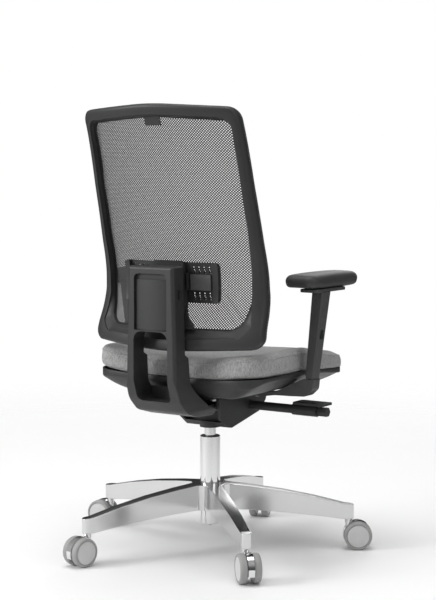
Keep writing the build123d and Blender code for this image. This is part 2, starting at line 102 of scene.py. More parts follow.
# Welts round the cushion: name, share of its height, radius and how deep they sit
WELTS = [("seat_top_welt", 0.90, 0.0020, 0.0004), ("seat_lower_welt", 0.07, 0.0015, 0.0003)]

SHELL_BOTTOM = 0.397
SHELL_THICKNESS = 0.0045
SHELL_INSET = 0.0075
SHELL_BLEND = 2.6
SHELL_STEPS = 34

# Holes of the back's mesh: their spacing, the share of the pattern's height where they open, and
# how sharply they do
MESH_PITCH_ACROSS = 0.0066
MESH_PITCH_ALONG = 0.0062
MESH_HOLE_EDGE = 0.52
MESH_HOLE_SHARPNESS = 9.0

# Surroundings that light the chair: share of a turn and brightness, dark gaps between pale panels
PANEL_STOPS = [(0.02, 0.9), (0.09, 0.45), (0.17, 0.12), (0.30, 0.04), (0.46, 0.10), (0.56, 0.9),
               (0.72, 1.0), (0.85, 0.75), (0.895, 0.5), (0.91, 0.03), (0.93, 0.8), (0.98, 1.0)]
PANEL_STRENGTH = 0.55
CEILING_BRIGHTNESS = 0.8

# Softboxes: name, place, size and power in watts
SOFTBOXES = [("key_light", (2.9, 3.5, 2.2), (1.6, 2.0), 125),
             ("top_light", (0.2, 0.4, 4.4), (3.4, 3.4), 110),
             ("side_light", (-3.6, 0.6, 2.4), (1.6, 2.2), 18),
             ("front_light", (1.2, -4.0, 2.4), (2.2, 2.4), 35)]
LIGHT_TARGET = Vector((0, 0, 0.5))

# Floor: half its width, and where it fades into the surroundings
FLOOR_HALF = 14
FLOOR_FADE = (0.7, 3.2)

# Rounded edges of the moulded and cast pieces
EDGE_RADII = {"star_base": 0.0016, "back_spine": 0.0025, "spine_cover": 0.0010,
              "arm_bracket_left": 0.0045, "arm_bracket_right": 0.0045, "arm_sleeve_left": 0.0018,
              "arm_sleeve_right": 0.0018, "arm_plate_left": 0.0015, "arm_plate_right": 0.0015,
              "height_lever": 0.0015, "tension_knob": 0.0015, "lock_lever": 0.0015,
              "seat_carrier": 0.0012, "lumbar_plate": 0.0010, "lumbar_bar": 0.0030,
              "top_clip": 0.0006, "back_height_button": 0.0010, "back_tongue": 0.0015,
              "mechanism_housing": 0.0030, "lever_tube": 0.0010,
              "arm_button_left": 0.0006, "arm_button_right": 0.0006}

# Armrest pad
PAD_WIDTH = 0.090
PAD_LENGTH = 0.241
PAD_LOW = 0.6575
PAD_HIGH = 0.6945
PAD_REAR_RADIUS = 0.026
PAD_FRONT_RADIUS = 0.036
PAD_LEAST_RADIUS = 0.003


# ---- Mesh helpers ---------------------------------------------------------------------------

def link(name, mesh):
    """New object from a mesh, in the scene."""
    piece = bpy.data.objects.new(name, mesh)
    bpy.context.scene.collection.objects.link(piece)
    return piece


def mesh_piece(name, vertices, faces, smooth_angle=40):
    """New object from vertices and faces, with outward normals and smooth shading below an angle."""
    mesh = bpy.data.meshes.new(name)
    mesh.from_pydata([tuple(v) for v in vertices], [], faces)
    tidy_mesh(mesh)
    piece = link(name, mesh)
    shade(piece, smooth_angle)
    return piece


def tidy_mesh(mesh, merge=1e-6):
    """Merge doubled vertices and point every face outwards."""
    bm = bmesh.new()
    bm.from_mesh(mesh)
    bmesh.ops.remove_doubles(bm, verts=bm.verts, dist=merge)
    bmesh.ops.recalc_face_normals(bm, faces=bm.faces)
    bm.to_mesh(mesh)
    bm.free()


def shade(piece, smooth_angle):
    """Shade smooth, keeping edges above an angle crisp."""
    piece.data.shade_smooth()
    piece.data.set_sharp_from_angle(angle=math.radians(smooth_angle))


def bake_modifiers(piece):
    """Replace a piece's mesh with its modified one and drop the modifiers."""
    bpy.context.view_layer.update()
    graph = bpy.context.evaluated_depsgraph_get()
    mesh = bpy.data.meshes.new_from_object(piece.evaluated_get(graph))
    piece.modifiers.clear()
    piece.data = mesh


def add_modifier(piece, kind, **values):
    """Add a modifier and set its values."""
    modifier = piece.modifiers.new(kind.title(), kind)
    for key, value in values.items():
        setattr(modifier, key, value)
    return modifier


def bridge_rings(rings, capped=False):
    """Vertices and faces of a skin over closed rings of points, with or without end caps."""
    count = len(rings[0])
    vertices = [point for ring in rings for point in ring]
    faces = []
    for row in range(len(rings) - 1):
        for column in range(count):
            after = (column + 1) % count
            faces.append((row * count + column, row * count + after,
                          (row + 1) * count + after, (row + 1) * count + column))
    if capped:
        faces.append(tuple(range(count)))
        last = (len(rings) - 1) * count
        faces.append(tuple(range(last, last + count)))
    return vertices, faces


def swept_ring(name, sections, smooth_angle=40):
    """Closed loop skinned over a list of closed sections."""
    vertices, faces = bridge_rings(sections + [sections[0]])
    return mesh_piece(name, vertices, faces, smooth_angle)


def rounded_outline(corners, steps=8):
    """Closed 2-D outline through (x, y, radius) corners, each rounded with an arc."""
    outline = []
    count = len(corners)
    for index in range(count):
        before = Vector(corners[index - 1][:2])
        corner = Vector(corners[index][:2])
        after = Vector(corners[(index + 1) % count][:2])
        to_before = (before - corner).normalized()
        to_after = (after - corner).normalized()
        half_turn = to_before.angle(to_after) / 2
        reach = corners[index][2] / math.tan(half_turn)
        reach = min(reach, 0.45 * (before - corner).length, 0.45 * (after - corner).length)
        middle = corner + (to_before + to_after).normalized() * (reach / math.cos(half_turn))
        start = corner + to_before * reach - middle
        end = corner + to_after * reach - middle
        sweep = start.angle(end)
        for step in range(steps + 1):
            turned = sweep * step / steps
            spoke = (start * math.sin(sweep - turned) + end * math.sin(turned)) / math.sin(sweep)
            outline.append(middle + spoke)
    return outline


def resampled(outline, count):
    """The same closed outline with evenly spaced points."""
    lengths = [0]
    closed = outline + [outline[0]]
    for first, second in zip(closed, closed[1:]):
        lengths.append(lengths[-1] + (second - first).length)
    points = []
    segment = 0
    for index in range(count):
        target = lengths[-1] * index / count
        while lengths[segment + 1] < target:
            segment += 1
        span = lengths[segment + 1] - lengths[segment]
        share = (target - lengths[segment]) / span if span else 0
        points.append(closed[segment].lerp(closed[segment + 1], share))
    return points


def nearest_on_outline(point, outline):
    """Closest point of a closed outline."""
    best = None
    for first, second in zip(outline, outline[1:] + [outline[0]]):
        along = second - first
        share = 0 if along.length == 0 else (point - first).dot(along) / along.length_squared
        candidate = first + along * min(1, max(0, share))
        if best is None or (candidate - point).length < (best - point).length:
            best = candidate
    return best


def softened_copy(node, width):
    """Copy of a CAD node with its sharp edges rounded, standing for that node."""
    source = frame["nodes"][node]
    piece = link(node + "_body", source.data.copy())
    bm = bmesh.new()
    bm.from_mesh(piece.data)
    bmesh.ops.remove_doubles(bm, verts=bm.verts, dist=1e-6)
    bmesh.ops.dissolve_limit(bm, angle_limit=math.radians(0.6), verts=bm.verts, edges=bm.edges)
    bm.to_mesh(piece.data)
    bm.free()
    add_modifier(piece, "BEVEL", width=width, segments=2, limit_method="ANGLE",
                 angle_limit=math.radians(30), miter_outer="MITER_ARC")
    bake_modifiers(piece)
    shade(piece, 50)
    add_modifier(piece, "WEIGHTED_NORMAL", keep_sharp=True, weight=90)
    bake_modifiers(piece)
    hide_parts(node)
    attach(piece, body_of_node(node))
    finish_piece(piece, slot_of_node(node))


def body_of_node(node):
    """The moving body that a CAD node belongs to."""
    for body, members in frame["record"]["behaviour"]["bodies"].items():
        if node in members:
            return body


def slot_of_node(node):
    """The material slot that the record gives a CAD node."""
    for part in frame["record"]["subparts"]:
        if part["node"] == node:
            return part["material_slot"]


def finish_piece(piece, slot):
    """Give a piece its slot and that slot's material."""
    piece.data.materials.clear()
    piece.data.materials.append(MATERIALS[slot])


# ---- Materials ------------------------------------------------------------------------------

class Nodes:
    """Short way to build a shader: each call adds a node and returns its first output."""

    def __init__(self, name):
        self.material = bpy.data.materials.new(name)
        self.material.use_nodes = True
        self.tree = self.material.node_tree
        self.shader = self.tree.nodes["Principled BSDF"]
        self.place = self.add("ShaderNodeTexCoord").outputs["Object"]

    def add(self, kind, **values):
        node = self.tree.nodes.new(kind)
        for key, value in values.items():
            setattr(node, key, value)
        return node

    def join(self, source, socket):
        if hasattr(source, "is_output"):
            self.tree.links.new(source, socket)
        else:
            socket.default_value = source

    def maths(self, operation, first, second=0.0, third=0.0):
        node = self.add("ShaderNodeMath", operation=operation)
        for value, socket in zip((first, second, third), node.inputs):
            self.join(value, socket)
        return node.outputs[0]

    def noise(self, scale, detail=2.0, roughness=0.5, vector=None):
        node = self.add("ShaderNodeTexNoise")
        self.join(vector or self.place, node.inputs["Vector"])
        node.inputs["Scale"].default_value = scale
        node.inputs["Detail"].default_value = detail
        node.inputs["Roughness"].default_value = roughness
        return node.outputs["Fac"]

    def cells(self, scale, feature="F1"):
        node = self.add("ShaderNodeTexVoronoi", feature=feature)
        self.join(self.place, node.inputs["Vector"])
        node.inputs["Scale"].default_value = scale
        return node.outputs["Distance"]

    def stretch(self, scale):
        node = self.add("ShaderNodeMapping")
        self.join(self.place, node.inputs["Vector"])
        node.inputs["Scale"].default_value = scale
        return node.outputs[0]

    def ramp(self, factor, stops):
        node = self.add("ShaderNodeValToRGB")
        self.join(factor, node.inputs[0])
        while len(node.color_ramp.elements) < len(stops):
            node.color_ramp.elements.new(0.5)
        for element, (position, brightness) in zip(node.color_ramp.elements, stops):
            element.position = position
            element.color = (brightness, brightness, brightness, 1)
        return node.outputs["Color"]

    def span(self, factor, low, high):
        node = self.add("ShaderNodeMapRange")
        self.join(factor, node.inputs["Value"])
        node.inputs["To Min"].default_value = low
        node.inputs["To Max"].default_value = high
        return node.outputs["Result"]

    def mixed(self, factor, first, second):
        node = self.add("ShaderNodeMix", data_type="RGBA")
        self.join(factor, node.inputs["Factor"])
        for value, socket in ((first, node.inputs[6]), (second, node.inputs[7])):
            self.join((*value, 1) if isinstance(value, tuple) else value, socket)
        return node.outputs[2]

    def bump(self, *layers):
        """Stack of (height, depth in metres) layers on the normal."""
        normal = None
        for height, depth in layers:
            node = self.add("ShaderNodeBump")
            self.join(height, node.inputs["Height"])
            node.inputs["Distance"].default_value = depth
            if normal:
                self.join(normal, node.inputs["Normal"])
            normal = node.outputs["Normal"]
        self.join(normal, self.shader.inputs["Normal"])

    def set(self, **values):
        names = {"color": "Base Color", "metal": "Metallic", "rough": "Roughness", "alpha": "Alpha",
                 "sheen": "Sheen Weight", "sheen_rough": "Sheen Roughness",
                 "specular": "Specular IOR Level"}
        for key, value in values.items():
            value = (*value, 1) if isinstance(value, tuple) else value
            self.join(value, self.shader.inputs[names[key]])
        return self.material


def moulded_plastic(name, tone, rough, grain=0.00006, grain_scale=1400):
    """Injection-moulded plastic: fine spark-erosion grain, faint cloudiness, duller in places."""
    n = Nodes(name)
    cloud = n.noise(9, 3)
    fine = n.noise(grain_scale, 3, 0.7)
    pits = n.cells(grain_scale * 0.7)
    color = n.mixed(cloud, tuple(c * 0.85 for c in tone), tuple(min(1, c * 1.18) for c in tone))
    n.bump((fine, grain), (pits, grain * 0.6))
    return n.set(color=color, rough=n.span(n.noise(35, 3), rough - 0.06, rough + 0.08), specular=0.45)


def polished_metal(name, tone, rough, streak=0.03):
    """Plated or polished metal with faint polishing marks and smudges."""
    n = Nodes(name)
    marks = n.noise(60, 4, 0.6, n.stretch((1, 1, 9)))
    smudge = n.noise(14, 3)
    amount = n.span(smudge, rough, rough + streak)
    n.bump((marks, 0.00002), (n.noise(5, 2), 0.0006))
    return n.set(color=n.mixed(smudge, tuple(c * 0.95 for c in tone), tone), metal=1.0, rough=amount)


def satin_aluminium():
    """Die-cast aluminium, polished, with very fine grinding grain."""
    n = Nodes("base_aluminium")
    grain = n.noise(420, 4, 0.65)
    wave = n.noise(11, 3)
    n.bump((grain, 0.000006), (wave, 0.00012))
    tone = n.mixed(wave, (0.60, 0.60, 0.603), (0.66, 0.66, 0.662))
    return n.set(color=tone, metal=1.0, rough=n.span(grain, 0.15, 0.21))


def tyre_rubber():
    """Soft grey tread with a matt, slightly dusty surface."""
    n = Nodes("wheel_grey")
    dust = n.noise(45, 4)
    n.bump((n.noise(900, 3, 0.7), 0.00008), (n.noise(60, 2), 0.0002))
    tone = n.mixed(dust, (0.27, 0.27, 0.268), (0.36, 0.36, 0.356))
    return n.set(color=tone, rough=n.span(dust, 0.5, 0.68), specular=0.35)


def disc_plastic():
    """Light grey wheel disc, satin."""
    n = Nodes("wheel_disc")
    cloud = n.noise(50, 3)
    n.bump((n.noise(1200, 3, 0.7), 0.00004), (n.noise(80, 2), 0.00012))
    return n.set(color=n.mixed(cloud, (0.50, 0.50, 0.50), (0.60, 0.60, 0.598)),
                 rough=n.span(cloud, 0.32, 0.42), specular=0.5)


def woven_axes(n):
    """Two coordinates that lie in the cloth on each side of the piece, picked by its normal."""
    split = n.add("ShaderNodeSeparateXYZ")
    n.join(n.place, split.inputs[0])
    facing = n.add("ShaderNodeSeparateXYZ")
    n.join(n.add("ShaderNodeNewGeometry").outputs["Normal"], facing.inputs[0])
    x, y, z = split.outputs
    flat = n.maths("GREATER_THAN", n.maths("ABSOLUTE", facing.outputs[2]), 0.62)
    endwise = n.maths("GREATER_THAN", n.maths("ABSOLUTE", facing.outputs[1]), 0.6)
    side_across = n.maths("ADD", n.maths("MULTIPLY", x, endwise),
                          n.maths("MULTIPLY", y, n.maths("SUBTRACT", 1.0, endwise)))
    lying = n.maths("SUBTRACT", 1.0, flat)
    across = n.maths("ADD", n.maths("MULTIPLY", x, flat), n.maths("MULTIPLY", side_across, lying))
    along = n.maths("ADD", n.maths("MULTIPLY", y, flat), n.maths("MULTIPLY", z, lying))
    return across, along


def thread(n, distance, pitch):
    """Rounded ridge profile repeated along a distance."""
    turn = n.maths("MULTIPLY", distance, 2 * math.pi / pitch)
    return n.maths("MULTIPLY_ADD", n.maths("SINE", turn), 0.5, 0.5)


def seat_cloth():
    """Grey melange weave: light and dark yarns in both directions, 2 mm ribs, a soft bloom."""
    n = Nodes("seat_fabric")
    across, along = woven_axes(n)
    warp = thread(n, across, 0.0021)
    weft = thread(n, along, 0.0017)
    weave = n.maths("MAXIMUM", n.maths("MULTIPLY", warp, n.maths("SUBTRACT", 1.0, weft)),
                    n.maths("MULTIPLY", weft, n.maths("SUBTRACT", 1.0, warp)))
    slub = n.noise(330, 4, 0.75, n.stretch((1, 1, 0.22)))
    fleck = n.noise(520, 2, 0.6)
    cloud = n.noise(7, 3)
    yarn = n.mixed(n.ramp(slub, [(0.36, 0.0), (0.62, 1.0)]), (0.20, 0.202, 0.204), (0.50, 0.50, 0.495))
    yarn = n.mixed(n.ramp(fleck, [(0.52, 0.0), (0.66, 1.0)]), yarn, (0.58, 0.58, 0.57))
    yarn = n.mixed(n.span(weave, 0.0, 0.45), yarn, (0.14, 0.14, 0.142))
    yarn = n.mixed(n.span(cloud, 0.0, 0.16), yarn, (0.38, 0.38, 0.375))
    n.bump((weave, 0.0006), (slub, 0.0004), (n.noise(24, 3), 0.0012))
    return n.set(color=yarn, rough=0.92, specular=0.18, sheen=0.25, sheen_rough=0.5)


def back_cloth():
    """Mesh: a lattice of dark yarn with open holes in offset rows."""
    n = Nodes("back_mesh")
    uv = n.add("ShaderNodeUVMap").outputs[0]
    split = n.add("ShaderNodeSeparateXYZ")
    n.join(uv, split.inputs[0])
    across, along = split.outputs[0], split.outputs[1]
    turns_across = n.maths("MULTIPLY", across, math.pi / MESH_PITCH_ACROSS)
    turns_along = n.maths("MULTIPLY", along, math.pi / MESH_PITCH_ALONG)
    rising = n.maths("COSINE", n.maths("ADD", turns_across, turns_along))
    falling = n.maths("COSINE", n.maths("SUBTRACT", turns_across, turns_along))
    hole = n.maths("MULTIPLY", n.maths("ABSOLUTE", rising), n.maths("ABSOLUTE", falling))
    strand = thread(n, across, 0.0011)
    fuzz = n.noise(700, 3, 0.7)
    tone = n.mixed(n.span(fuzz, 0.0, 1.0), (0.020, 0.020, 0.021), (0.075, 0.075, 0.076))
    tone = n.mixed(n.span(strand, 0.0, 0.30), tone, (0.12, 0.12, 0.12))
    edge = n.maths("SUBTRACT", hole, MESH_HOLE_EDGE)
    solid = n.maths("SUBTRACT", 1.0, n.maths("MULTIPLY", edge, MESH_HOLE_SHARPNESS))
    solid = n.maths("MINIMUM", 1.0, n.maths("MAXIMUM", 0.0, solid))
    n.bump((n.maths("SUBTRACT", 1.0, hole), 0.0009), (strand, 0.0002), (fuzz, 0.0002))
    return n.set(color=tone, alpha=solid, rough=0.85, specular=0.2, sheen=0.15)


def soft_pad_skin():
    """Soft-touch polyurethane skin with a fine leather-like grain."""
    n = Nodes("pad_soft")
    grain = n.cells(620, feature="SMOOTH_F1")
    fine = n.noise(1300, 3, 0.7)
    worn = n.noise(12, 3)
    n.bump((grain, 0.00018), (fine, 0.00006), (n.noise(30, 2), 0.0004))
    tone = n.mixed(worn, (0.030, 0.030, 0.031), (0.050, 0.050, 0.051))
    return n.set(color=tone, rough=n.span(worn, 0.42, 0.56), specular=0.42)


MATERIALS = {
    "base_aluminium": satin_aluminium(),
    "chrome": polished_metal("chrome", (0.74, 0.74, 0.745), 0.06),
    "steel": polished_metal("steel", (0.56, 0.56, 0.57), 0.28, 0.12),
    "wheel_grey": tyre_rubber(),
    "bush_plastic": moulded_plastic("bush_plastic", (0.03, 0.03, 0.03), 0.5),
    "mechanism_black": moulded_plastic("mechanism_black", (0.024, 0.024, 0.025), 0.52, 0.0001, 900),
    "shell_black": moulded_plastic("shell_black", (0.026, 0.026, 0.027), 0.46),
    "lumbar_grey": moulded_plastic("lumbar_grey", (0.10, 0.10, 0.10), 0.5),
    "button_black": moulded_plastic("button_black", (0.010, 0.010, 0.010), 0.4),
    "seat_fabric": seat_cloth(),
    "back_mesh": back_cloth(),
    "arm_plastic": moulded_plastic("arm_plastic", (0.050, 0.050, 0.051), 0.46),
    "pad_soft": soft_pad_skin(),
}
WHEEL_DISC = disc_plastic()


# ---- Casters --------------------------------------------------------------------------------

def turned_ring(profile, place, axis, count=64):
    """Sections of a lathe turned about an axis; the profile is (radius, distance along the axis)."""
    axis = Vector(axis).normalized()
    across = axis.cross(Vector((0, 0, 1))).normalized()
    upward = across.cross(axis)
    sections = []
    for step in range(count):
        angle = 2 * math.pi * step / count
        spoke = across * math.cos(angle) + upward * math.sin(angle)
        sections.append([Vector(place) + spoke * radius + axis * offset for radius, offset in profile])
    return sections


def lathe(name, profile, place, axis):
    """Solid turned about an axis from a closed profile."""
    return swept_ring(name, turned_ring(profile, place, axis))


# Closed sections of a wheel: (radius, distance from the caster's middle)
TYRE_PROFILE = [(0.0280, 0.0080), (0.0320, 0.0080), (0.0338, 0.0090), (0.0346, 0.0108), (0.0350, 0.0135),
                (0.0350, 0.0185), (0.0347, 0.0212), (0.0339, 0.0235), (0.0326, 0.0250), (0.0308, 0.0257),
                (0.0296, 0.0256), (0.0287, 0.0251), (0.0280, 0.0240)]
DISC_PROFILE = [(0.0042, 0.0082), (0.0278, 0.0082), (0.0278, 0.0236), (0.0272, 0.0247), (0.0262, 0.0250),
                (0.0250, 0.0252), (0.0225, 0.0257), (0.0180, 0.0264), (0.0120, 0.0270), (0.0060, 0.02745),
                (0.0002, 0.0276), (0.0002, 0.0252), (0.0042, 0.0250)]


def caster_wheel(joint):
    """Tyre and disc of one wheel, from its spin joint."""
    body = joint["child"]
    node = "caster_" + body
    low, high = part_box(node)
    axis = Vector(joint["axis"])
    hub = Vector(joint["pos_m"])
    outward = axis if ((low + high) / 2 - hub).dot(axis) > 0 else -axis
    tyre = lathe(node + "_tyre", TYRE_PROFILE, hub, outward)
    disc = lathe(node + "_disc", DISC_PROFILE, hub, outward)
    for piece in (tyre, disc):
        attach(piece, body)
        finish_piece(piece, "wheel_grey")
    disc.data.materials.clear()
    disc.data.materials.append(WHEEL_DISC)
    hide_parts(node)
    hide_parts(node)


# ---- Back -----------------------------------------------------------------------------------

def back_radius(z):
    """Radius of the back's rear face at a height, smooth through the curve's points."""
    points = BACK_CURVE
    z = min(max(z, points[0][1]), points[-1][1])
    index = next(i for i in range(len(points) - 1) if z <= points[i + 1][1])
    p = [points[max(0, min(len(points) - 1, index + k))] for k in (-1, 0, 1, 2)]
    span = p[2][1] - p[1][1]
    share = (z - p[1][1]) / span
    slope_in = (p[2][0] - p[0][0]) / (p[2][1] - p[0][1]) * span
    slope_out = (p[3][0] - p[1][0]) / (p[3][1] - p[1][1]) * span
    cubic = ((2 * share ** 3 - 3 * share ** 2 + 1) * p[1][0]
             + (share ** 3 - 2 * share ** 2 + share) * slope_in
             + (3 * share ** 2 - 2 * share ** 3) * p[2][0]
             + (share ** 3 - share ** 2) * slope_out)
    return cubic - BACK_AXIS_Y


def back_point(x, z, depth):
    """Point of the back at a depth in front of its rear face."""
    radius = back_radius(z) - depth
    return Vector((x, BACK_AXIS_Y + math.sqrt(radius ** 2 - x ** 2), z))


def rail_section(width):
    """Section of the frame rail: (distance from the window, depth), with a lip that holds the mesh.

    A wide rail slopes down to the window from a crease; a narrow one only has a rounded edge."""
    depth = FRAME_DEPTH
    slope = SLOPE_SHORTEST + SLOPE_GROWTH * (width - NARROW_RAIL)
    slope = min(SLOPE_LONGEST, max(SLOPE_SHORTEST, slope))
    return [(0.0, 0.0170), (0.0, 0.0140), (slope * 0.10, 0.0112), (slope * 0.55, 0.0072),
            (slope - 0.0010, 0.0034), (slope - 0.0002, 0.0004), (slope + 0.0012, 0.0),
            (width - 0.0085, 0.0002), (width - 0.0045, 0.0012), (width - 0.0016, 0.0040),
            (width, 0.0090), (width, depth - 0.0100), (width - 0.0014, depth - 0.0050),
            (width - 0.0045, depth - 0.0016), (width - 0.0090, depth - 0.0002),
            (width * 0.45, depth - 0.0006), (0.0060, depth - 0.0022), (0.0010, MESH_DEPTH + 0.0010),
            (-0.0016, MESH_DEPTH + 0.0002), (-0.0022, MESH_DEPTH - 0.0020), (-0.0012, MESH_DEPTH - 0.0035)]


def frame_outlines():
    """Matching outer and window points of the frame, seen from the front."""
    outer = resampled(rounded_outline(FRAME_CORNERS), OUTLINE_POINTS)
    window = resampled(rounded_outline(WINDOW_CORNERS), 400)
    return [(point, nearest_on_outline(point, window)) for point in outer]


def back_frame_ring(outlines):
    """Rounded ring of the back, following its double curve."""
    sections = []
    for outer, inner in outlines:
        across = outer - inner
        width = across.length
        section = []
        for distance, depth in rail_section(width):
            spot = inner + across * (distance / width)
            section.append(back_point(spot.x, spot.y, depth))
        sections.append(section)
    ring = swept_ring("back_frame_ring", sections, 50)
    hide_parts("back_frame")
    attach(ring, "back")
    finish_piece(ring, "shell_black")


def back_mesh_sheet(outlines):
    """Mesh stretched over the front of the frame, its edge wrapped round the sides."""
    rows = []
    for beyond, depth in MESH_WRAP:
        rows.append([(outer + (outer - inner).normalized() * beyond, depth) for outer, inner in outlines])
    rows.append([(outer.lerp(inner, 0.55), FRAME_DEPTH + 0.0006) for outer, inner in outlines])
    rows.append([(inner + (outer - inner).normalized() * 0.004, MESH_DEPTH + 0.0046)
                 for outer, inner in outlines])
    rows.append([(inner, MESH_DEPTH + 0.0022) for outer, inner in outlines])
    for step in range(1, MESH_ROWS + 1):
        share = (step / MESH_ROWS) ** 0.85 * 0.985
        rows.append([(inner.lerp(MESH_MIDDLE, share), MESH_DEPTH + 0.0006) for outer, inner in outlines])
    rings = [[back_point(spot.x, spot.y, depth) for spot, depth in row] for row in rows]
    vertices, faces = bridge_rings(rings)
    faces.append(tuple(range(len(vertices) - len(outlines), len(vertices))))
    flat = []
    for row_number, row in enumerate(rows):
        wrap = max(0, len(MESH_WRAP) - 1 - row_number) * 0.005
        for spot, depth in row:
            outward = (spot - MESH_MIDDLE).normalized()
            flat.append((spot.x + outward.x * wrap, spot.y + outward.y * wrap))
    mesh = bpy.data.meshes.new("back_mesh_sheet")
    mesh.from_pydata([tuple(v) for v in vertices], [], faces)
    layer = mesh.uv_layers.new(name="cloth")
    for loop in mesh.loops:
        layer.data[loop.index].uv = flat[loop.vertex_index]
    piece = link("back_mesh_sheet", mesh)
    add_modifier(piece, "SOLIDIFY", thickness=MESH_THICKNESS, offset=0)
    bake_modifiers(piece)
    shade(piece, 60)
    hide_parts("mesh_panel")
    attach(piece, "back")
    finish_piece(piece, "back_mesh")
    return piece


# ---- Seat -----------------------------------------------------------------------------------

def inset_outline(outline, middle, inset):
    """Outline drawn in towards its middle by a distance."""
    return [point + (middle - point).normalized() * inset for point in outline]


def smooth_share(value, low, high):
    """0 below low, 1 above high, eased between."""
    share = min(1, max(0, (value - low) / (high - low)))
    return share * share * (3 - 2 * share)


def seat_edges(x, y):
    """Heights of the cover's lower and upper edge below and above a place on the outline."""
    side = smooth_share(abs(x), 0.10, 0.235)
    fall = smooth_share(-y, 0.04, 0.31)
    low = SEAT_EDGE_LOW + SEAT_LOW_RISE * side - SEAT_LOW_FALL * fall
    return low, SEAT_EDGE_TOP + SEAT_TOP_RISE * side - SEAT_FRONT_FALL * fall


# Rows of the cushion's form: (inset, share of the side's height), then insets across its top
SIDE_ROWS = [(0.060, -0.12), (0.022, -0.08), (0.009, -0.02), (0.0045, 0.10), (0.0030, 0.32),
             (0.0035, 0.62), (0.0050, 0.84), (0.0085, 0.97), (0.0130, 1.02)]
TOP_INSETS = [0.026, 0.050, 0.080, 0.120, 0.160, 0.195]


def seat_cushion_form(outline):
    """Closed foam block a little smaller than the cover, with upright sides and a gently dished top."""
    rings = []
    for inset, level in SIDE_ROWS:
        ring = []
        for edge, point in zip(outline, inset_outline(outline, SEAT_MIDDLE, inset)):
            low, high = seat_edges(edge.x, edge.y)
            ring.append(Vector((point.x, point.y, low + (high - low) * level)))
        rings.append(ring)
    for inset in TOP_INSETS:
        ring = []
        for edge, point in zip(outline, inset_outline(outline, SEAT_MIDDLE, inset)):
            high = seat_edges(edge.x, edge.y)[1] + 0.003
            share = smooth_share(inset, 0.01, 0.13)
            ring.append(Vector((point.x, point.y, high + (SEAT_MIDDLE_TOP - high) * share)))
        rings.append(ring)
    vertices, faces = bridge_rings(rings, capped=True)
    return mesh_piece("seat_cushion_cover", vertices, faces)


def inflate(piece, voxel, pressure, cap, held_below):
    """Remesh a form, swell it as cloth with its underside held, and keep the swelling under a cap."""
    add_modifier(piece, "REMESH", mode="VOXEL", voxel_size=voxel)
    bake_modifiers(piece)
    rest = [v.co.copy() for v in piece.data.vertices]
    group = piece.vertex_groups.new(name="held")
    group.add([v.index for v in piece.data.vertices if v.co.z < held_below], 1.0, "REPLACE")
    cloth = add_modifier(piece, "CLOTH")
    cloth.settings.use_pressure = True
    cloth.settings.uniform_pressure_force = pressure
    cloth.settings.effector_weights.gravity = 0
    cloth.settings.vertex_group_mass = "held"
    cloth.settings.quality = 6
    for frame_number in range(1, 21):
        bpy.context.scene.frame_set(frame_number)
    bake_modifiers(piece)
    bpy.context.scene.frame_set(1)
    for vertex, start in zip(piece.data.vertices, rest):
        move = vertex.co - start
        if move.length > cap:
            vertex.co = start + move * (cap / move.length)
    add_modifier(piece, "SMOOTH", factor=0.5, iterations=3)
    add_modifier(piece, "SUBSURF", levels=1, render_levels=1)
    bake_modifiers(piece)
    shade(piece, 80)


def piping(name, points, radius, sides=8):
    """Thin welt sewn round a closed line of points."""
    sections = []
    count = len(points)
    for index, point in enumerate(points):
        along = (points[(index + 1) % count] - points[index - 1]).normalized()
        across = along.cross(Vector((0, 0, 1))).normalized()
        section = []
        for step in range(sides):
            angle = 2 * math.pi * step / sides
            upward = Vector((0, 0, radius * math.sin(angle)))
            section.append(point + across * radius * math.cos(angle) + upward)
        sections.append(section)
    return swept_ring(name, sections, 80)


def seat_welt(cushion, name, outline, level, radius, sink):
    """Welt round the side of the cushion at a share of its height, following its surface."""
    points = []
    for spot in outline:
        low, high = seat_edges(spot.x, spot.y)
        outward = (spot - SEAT_MIDDLE).normalized()
        away = Vector((outward.x, outward.y, 0))
        start = Vector((spot.x, spot.y, low + (high - low) * level)) + away * 0.05
        _, place, _, _ = cushion.ray_cast(start, -away)
        points.append(place - away * sink)
    welt = piping(name, points, radius)
    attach(welt, "seat")
    finish_piece(welt, "seat_fabric")


def seat_cushion():
    """Fabric cover over foam, swollen by a cloth simulation, with two welts."""
    outline = resampled(rounded_outline(SEAT_CORNERS, 12), 180)
    cushion = seat_cushion_form(outline)
    inflate(cushion, SEAT_VOXEL, SEAT_PRESSURE, SEAT_SWELL, SEAT_EDGE_LOW - 0.001)
    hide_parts("seat_cushion")
    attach(cushion, "seat")
    finish_piece(cushion, "seat_fabric")
    for name, level, radius, sink in WELTS:
        seat_welt(cushion, name, outline, level, radius, sink)


def shell_height(x, y):
    """Height of the underside of the seat shell, which turns up towards its edges."""
    across = 0.048 * max(0, (abs(x) - 0.128) / 0.110) ** 1.9
    if y < 0:
        along = 0.031 * max(0, (-y - 0.225) / 0.080) ** 1.5
    else:
        along = 0.040 * max(0, (y - 0.112) / 0.060) ** 1.7
    return SHELL_BOTTOM + (across ** SHELL_BLEND + along ** SHELL_BLEND) ** (1 / SHELL_BLEND)


